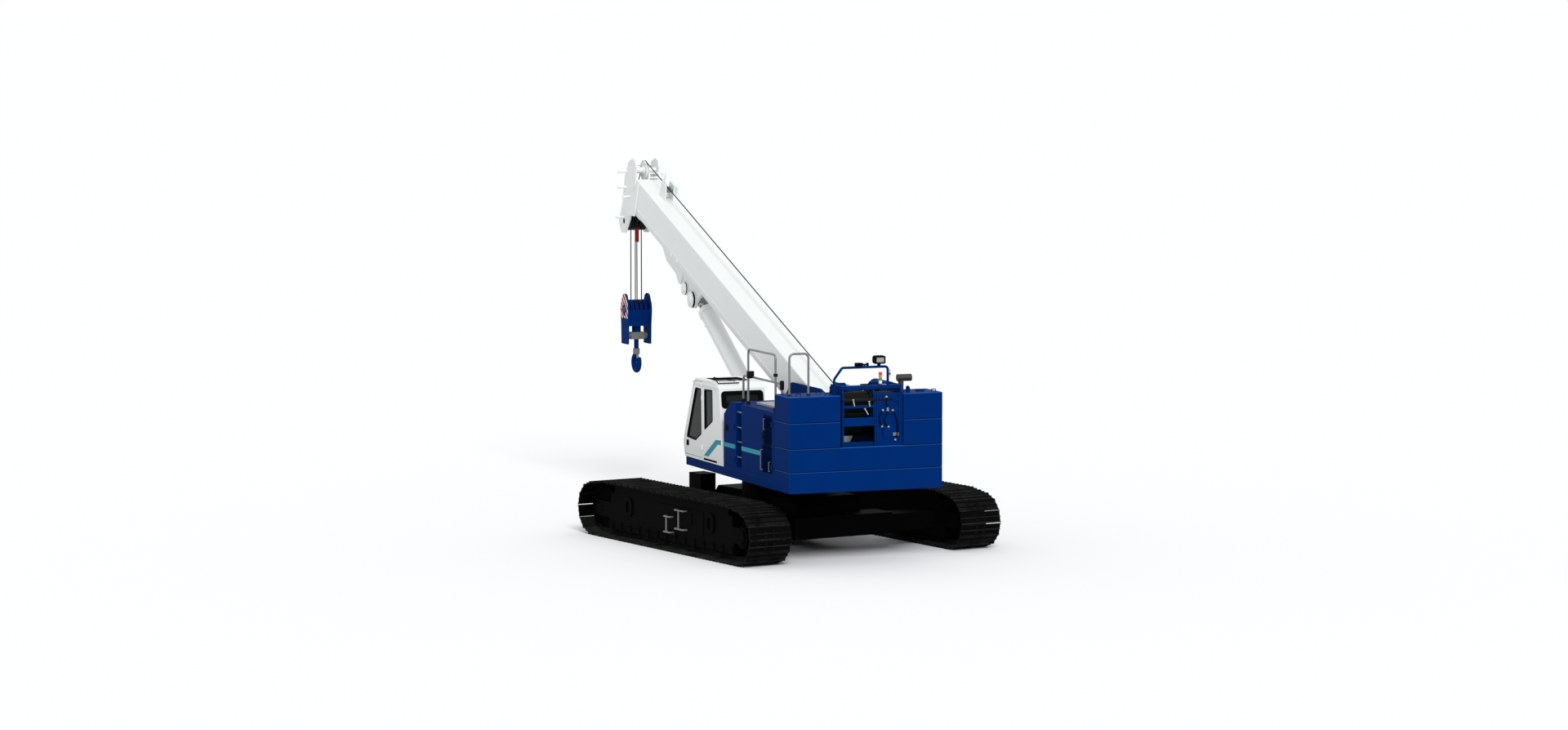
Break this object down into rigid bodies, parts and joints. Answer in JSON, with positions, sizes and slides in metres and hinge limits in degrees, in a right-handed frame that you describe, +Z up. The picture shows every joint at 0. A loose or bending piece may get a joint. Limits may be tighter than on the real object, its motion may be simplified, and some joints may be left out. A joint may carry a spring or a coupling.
{
  "type": "telescopic crawler crane",
  "caption": "Crawler crane with a sliding-section telescopic boom, slewing upper structure, stepped counterweight, side cab and a rope-hung hook block.",
  "frame": {"origin": "on the ground under the slewing axis", "axes": "+X forward along the boom and the upper structure, +Y to the cab's side, +Z up; the tracks stand turned by 10.15 degrees about +Z, as in the picture"},
  "size_m": [13.3767, 6.6952, 7.1273],
  "materials": {
    "white_paint": "gloss",
    "blue_paint": "gloss",
    "black_paint": "satin",
    "track_steel": "worn",
    "grey_steel": "satin",
    "dark_steel": "satin",
    "chrome_rod": "polished",
    "tinted_glass": "gloss",
    "seat_cloth": "matt",
    "red_paint": "satin",
    "sheave_steel": "satin"
  },
  "bodies": {
    "undercarriage": {"carbody": "black_paint", "slew_ring": "black_paint"},
    "left_track": {"track_frame_left": "black_paint", "track_loop_left": "track_steel", "track_wheels_left": "black_paint"},
    "right_track": {"track_frame_right": "black_paint", "track_loop_right": "track_steel", "track_wheels_right": "black_paint"},
    "upper": {"deck_frame": "blue_paint", "hinge_pins": "grey_steel", "left_house": "blue_paint", "right_house": "blue_paint", "engine_block": "dark_steel", "fuel_tank": "blue_paint", "handrails": "grey_steel", "walkway": "grey_steel", "winch_frame": "blue_paint", "lamp_hoop": "blue_paint", "exhaust": "grey_steel", "cab_shell": "white_paint", "cab_glass": "tinted_glass", "operator_seat": "seat_cloth", "counterweight_slab_lower": "blue_paint", "counterweight_slab_upper": "blue_paint", "counterweight_left_lower": "blue_paint", "counterweight_left_upper": "blue_paint", "counterweight_right_lower": "blue_paint", "counterweight_right_upper": "blue_paint"},
    "cab_door": {"cab_door": "white_paint", "cab_door_glass": "tinted_glass"},
    "service_door_front": {"service_door_front": "blue_paint"},
    "service_door_rear": {"service_door_rear": "blue_paint"},
    "engine_door": {"engine_door": "blue_paint"},
    "main_winch": {"main_winch_drum": "dark_steel"},
    "aux_winch": {"aux_winch_drum": "dark_steel"},
    "boom": {"boom_base": "white_paint"},
    "section_2": {"boom_section_2": "white_paint"},
    "section_3": {"boom_section_3": "white_paint"},
    "section_4": {"boom_section_4": "white_paint"},
    "head": {"boom_head": "white_paint"},
    "head_sheaves": {"head_sheaves": "sheave_steel"},
    "guide_sheave": {"guide_sheave": "sheave_steel"},
    "hook_block": {"rope_falls": "dark_steel", "overhoist_weight": "red_paint", "hook_block": "blue_paint"},
    "block_sheaves": {"block_sheaves": "sheave_steel"},
    "hook": {"hook": "blue_paint"},
    "lift_barrel": {"lift_barrel": "white_paint"},
    "lift_rod": {"lift_rod": "chrome_rod"}
  },
  "joints": [
    {"name": "slew", "type": "hinge", "parent": "undercarriage", "child": "upper", "pos_m": [0, 0, 1.41], "axis": [0, 0, 1], "continuous": true},
    {"name": "left_track_extension", "type": "slide", "parent": "undercarriage", "child": "left_track", "axis": [-0.1762, 0.9843, 0], "range_m": [-0.84, 0]},
    {"name": "right_track_extension", "type": "slide", "parent": "undercarriage", "child": "right_track", "axis": [0.1762, -0.9843, 0], "range_m": [-0.84, 0]},
    {"name": "boom_luff", "type": "hinge", "parent": "upper", "child": "boom", "pos_m": [-2.1, -0.12, 2.62], "axis": [0, -1, 0], "range_deg": [-3, 60]},
    {"name": "telescope_2", "type": "slide", "parent": "boom", "child": "section_2", "axis": [0.9397, 0, 0.342], "range_m": [0, 9]},
    {"name": "telescope_3", "type": "slide", "parent": "section_2", "child": "section_3", "axis": [0.9397, 0, 0.342], "range_m": [0, 9]},
    {"name": "telescope_4", "type": "slide", "parent": "section_3", "child": "section_4", "axis": [0.9397, 0, 0.342], "range_m": [0, 9]},
    {"name": "telescope_head", "type": "slide", "parent": "section_4", "child": "head", "axis": [0.9397, 0, 0.342], "range_m": [0, 9]},
    {"name": "head_sheave_spin", "type": "hinge", "parent": "head", "child": "head_sheaves", "pos_m": [8.97633, -0.12, 5.7767], "axis": [0, 1, 0], "continuous": true},
    {"name": "guide_sheave_spin", "type": "hinge", "parent": "head", "child": "guide_sheave", "pos_m": [8.42572, -0.12, 6.8714], "axis": [0, 1, 0], "continuous": true},
    {"name": "hook_swing", "type": "hinge", "parent": "head", "child": "hook_block", "pos_m": [8.97633, -0.12, 5.7767], "axis": [0, 1, 0], "range_deg": [-10, 60]},
    {"name": "block_sheave_spin", "type": "hinge", "parent": "hook_block", "child": "block_sheaves", "pos_m": [8.97633, -0.12, 3.8927], "axis": [0, 1, 0], "continuous": true},
    {"name": "hook_swivel", "type": "hinge", "parent": "hook_block", "child": "hook", "pos_m": [8.97633, -0.12, 2.7517], "axis": [0, 0, 1], "continuous": true},
    {"name": "lift_barrel_tilt", "type": "hinge", "parent": "upper", "child": "lift_barrel", "pos_m": [0.55, -0.12, 1.62], "axis": [0, -1, 0], "range_deg": [-4, 65]},
    {"name": "lift_rod_slide", "type": "slide", "parent": "lift_barrel", "child": "lift_rod", "axis": [0.8528, 0, 0.5222], "range_m": [-0.15, 2.85]},
    {"name": "main_winch_spin", "type": "hinge", "parent": "upper", "child": "main_winch", "pos_m": [-3.2, -0.12, 2.6], "axis": [0, 1, 0], "continuous": true},
    {"name": "aux_winch_spin", "type": "hinge", "parent": "upper", "child": "aux_winch", "pos_m": [-3.7, 0.12, 3.04], "axis": [0, 1, 0], "continuous": true},
    {"name": "cab_door_hinge", "type": "hinge", "parent": "upper", "child": "cab_door", "pos_m": [0.51, 1.5543, 2.2], "axis": [0, 0, 1], "range_deg": [0, 95]},
    {"name": "service_door_front_hinge", "type": "hinge", "parent": "upper", "child": "service_door_front", "pos_m": [-1.225, 1.5543, 2.2], "axis": [0, 0, 1], "range_deg": [0, 110]},
    {"name": "service_door_rear_hinge", "type": "hinge", "parent": "upper", "child": "service_door_rear", "pos_m": [-3.19, 1.5543, 2.2], "axis": [0, 0, 1], "range_deg": [0, 110]},
    {"name": "engine_door_hinge", "type": "hinge", "parent": "upper", "child": "engine_door", "pos_m": [-2.7, -1.5543, 2.2], "axis": [0, 0, -1], "range_deg": [0, 110]}
  ],
  "couplings": [
    {"joint": "telescope_3", "follows": "telescope_2", "ratio": 1},
    {"joint": "telescope_4", "follows": "telescope_2", "ratio": 1},
    {"joint": "telescope_head", "follows": "telescope_2", "ratio": 1},
    {"joint": "lift_barrel_tilt", "follows": "boom_luff", "ratio": 1.0458},
    {"joint": "lift_rod_slide", "follows": "boom_luff", "m_per_rad": 2.6883}
  ]
}
